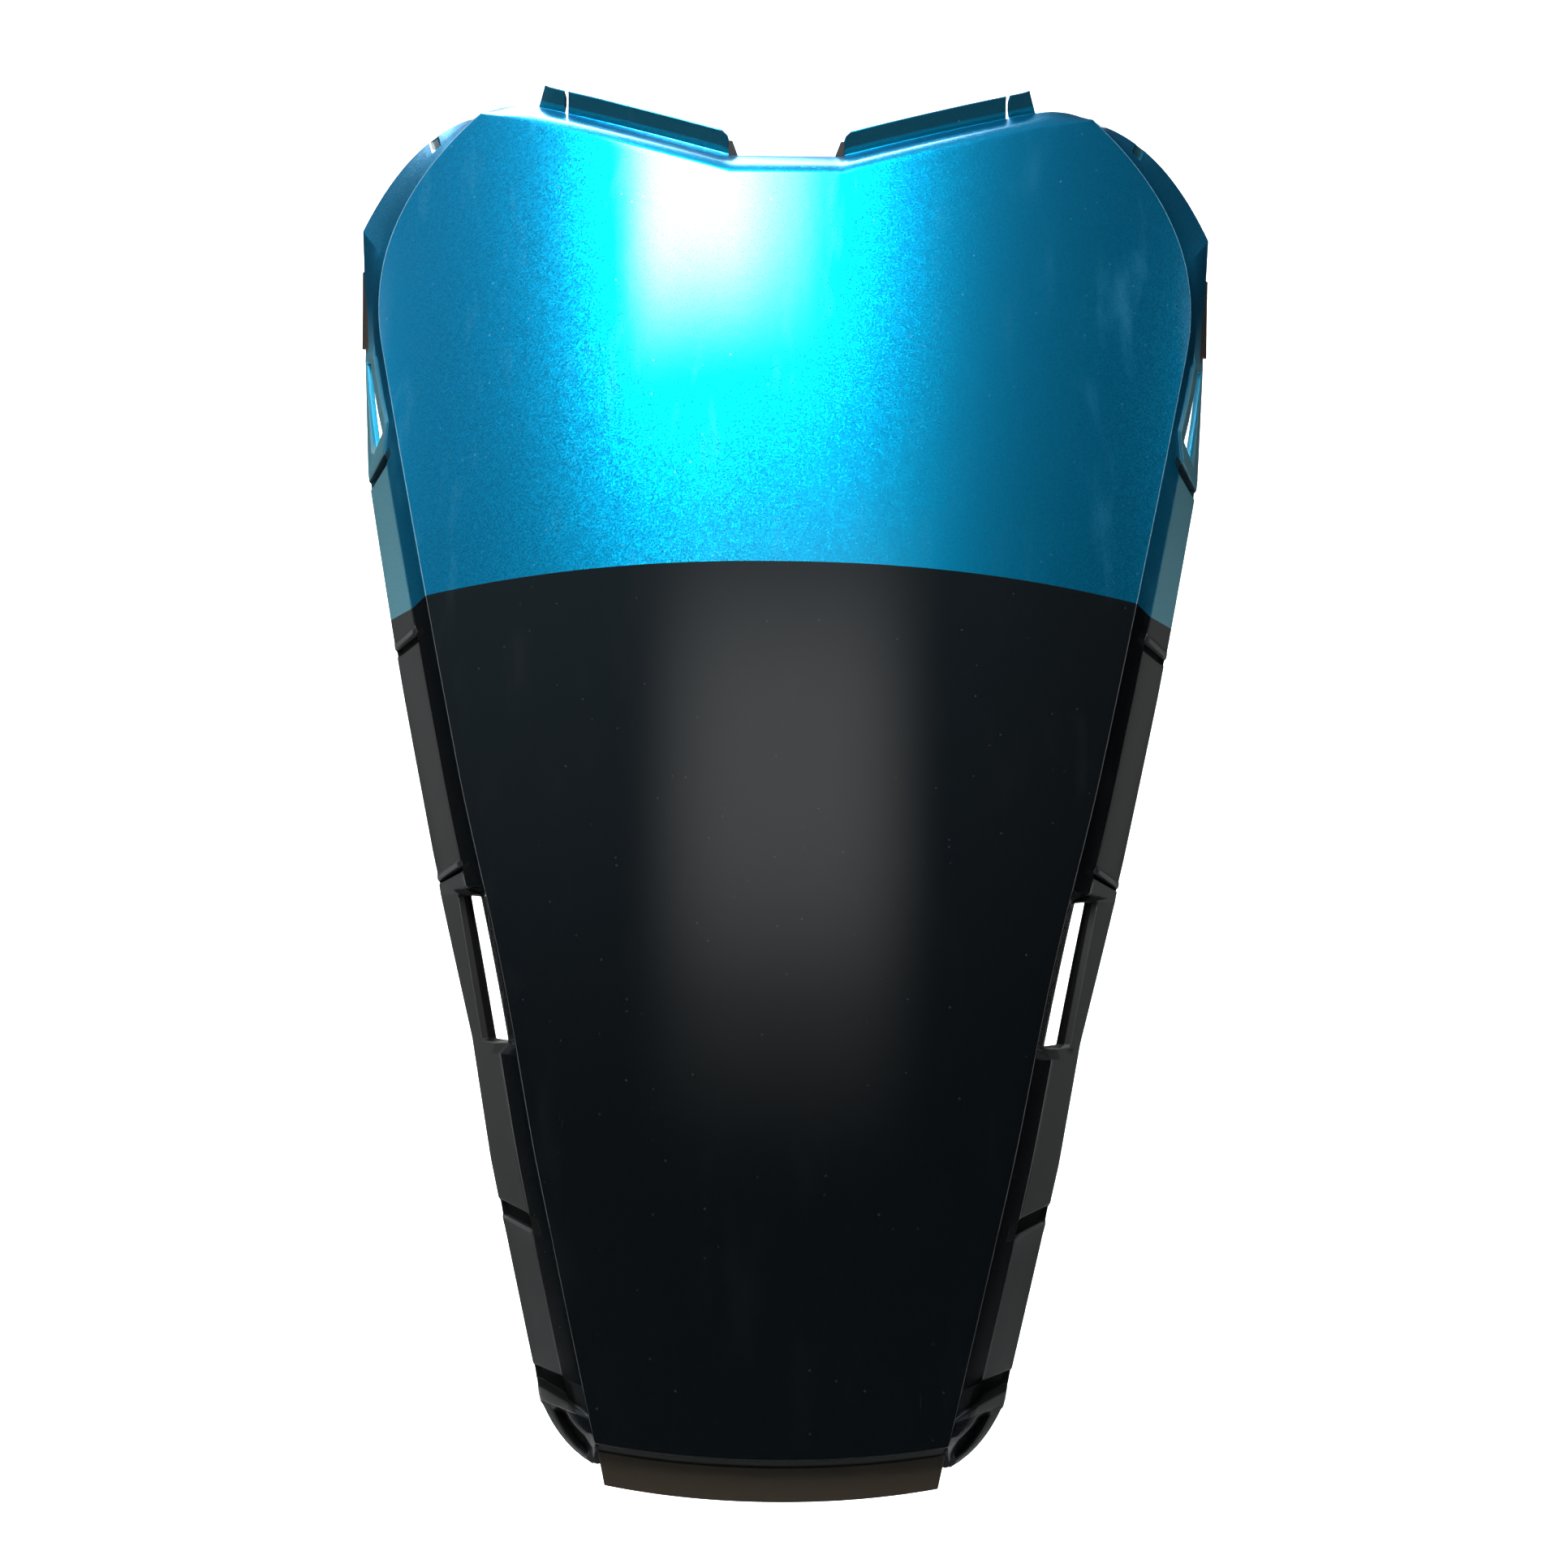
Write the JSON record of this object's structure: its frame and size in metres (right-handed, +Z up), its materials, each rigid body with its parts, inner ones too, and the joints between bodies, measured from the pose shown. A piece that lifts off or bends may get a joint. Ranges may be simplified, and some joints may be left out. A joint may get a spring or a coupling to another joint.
{
  "type": "motorcycle fairing",
  "caption": "Front fairing panel of a scooter-type motorcycle: a bowed shield-shaped moulding with stepped side flanges, slots, top lugs and a bottom tongue.",
  "frame": {"origin": "midway between the two upper rear screw bosses, on their end plane", "axes": "+Z up along the panel's height, +Y backwards along the screw bosses, the painted face looks along -Y, +X to the right in the picture"},
  "size_m": [0.4108, 0.1586, 0.6467],
  "materials": {
    "painted_panel": "glossy two-tone paint over moulded plastic"
  },
  "bodies": {
    "root": {"front_panel": "painted_panel"}
  },
  "joints": []
}
